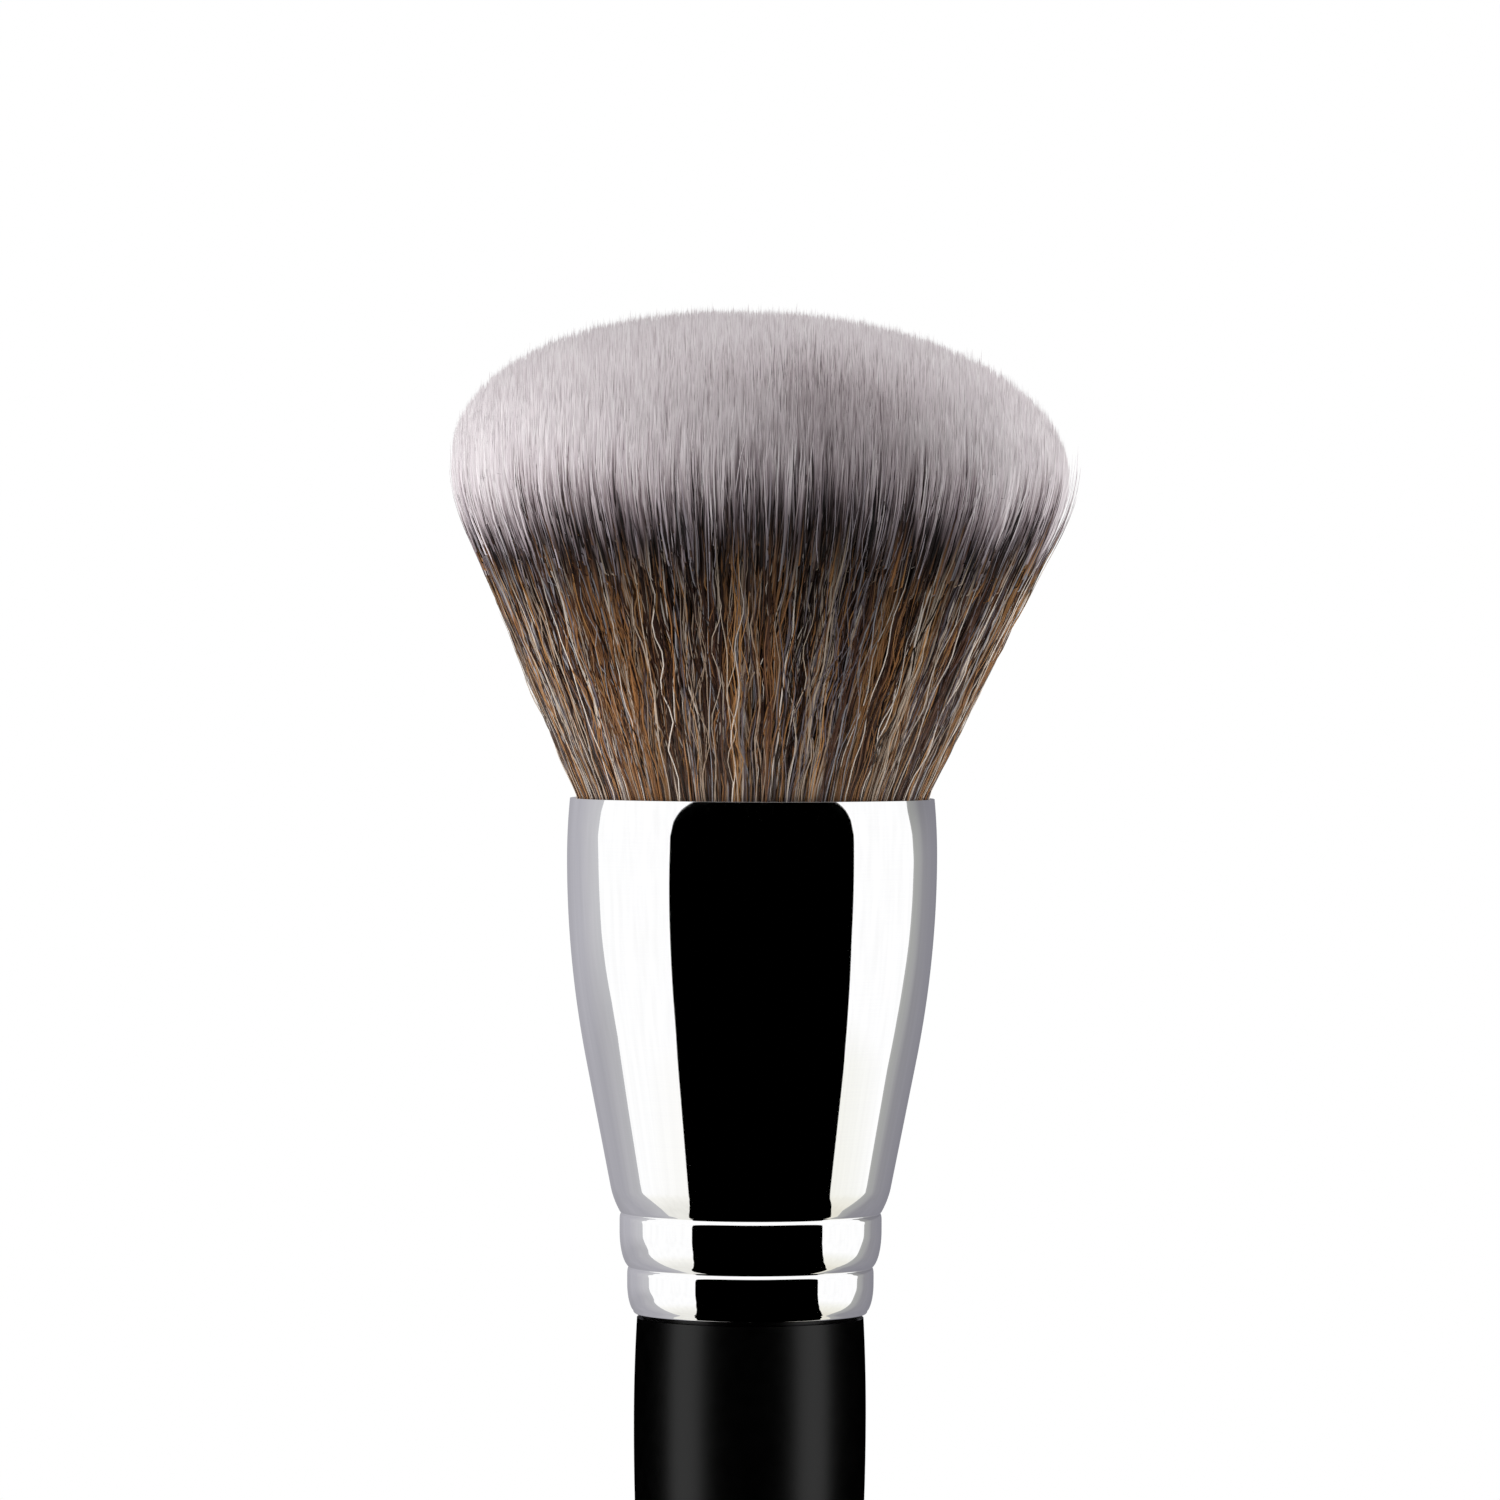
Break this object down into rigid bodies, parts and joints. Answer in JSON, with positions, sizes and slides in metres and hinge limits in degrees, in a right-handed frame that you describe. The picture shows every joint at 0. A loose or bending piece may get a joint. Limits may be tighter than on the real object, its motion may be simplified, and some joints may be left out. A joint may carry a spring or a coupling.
{
  "type": "powder brush",
  "caption": "Jumbo make-up brush: flared, domed head of cupped banded hair in a bulged chrome ferrule with rolled bands, on a tapered black lacquered handle.",
  "frame": {"origin": "middle of the small flat at the butt of the handle, on the brush's axis", "axes": "+Z along the brush from the butt to the tip of the hair; +X to the right as the picture sees it, +Y away from it"},
  "size_m": [0.046, 0.046, 0.1853],
  "materials": {
    "handle_lacquer": "smooth black lacquer over turned wood, soft gloss",
    "ferrule_chrome": "mirror-polished plating on a spun tube",
    "hair": "fine cupped hair, mixed brown with a dark band and pale tips",
    "thread": "waxed cotton",
    "epoxy": "hardened amber resin",
    "wood_glue": "hardened white glue"
  },
  "bodies": {
    "root": {"handle": "handle_lacquer", "ferrule": "ferrule_chrome", "bristle_core": "hair", "bristle_inner": "hair", "bristle_middle": "hair", "bristle_outer": "hair", "binding_thread": "thread", "root_glue": "epoxy", "tenon_glue": "wood_glue"}
  },
  "joints": []
}
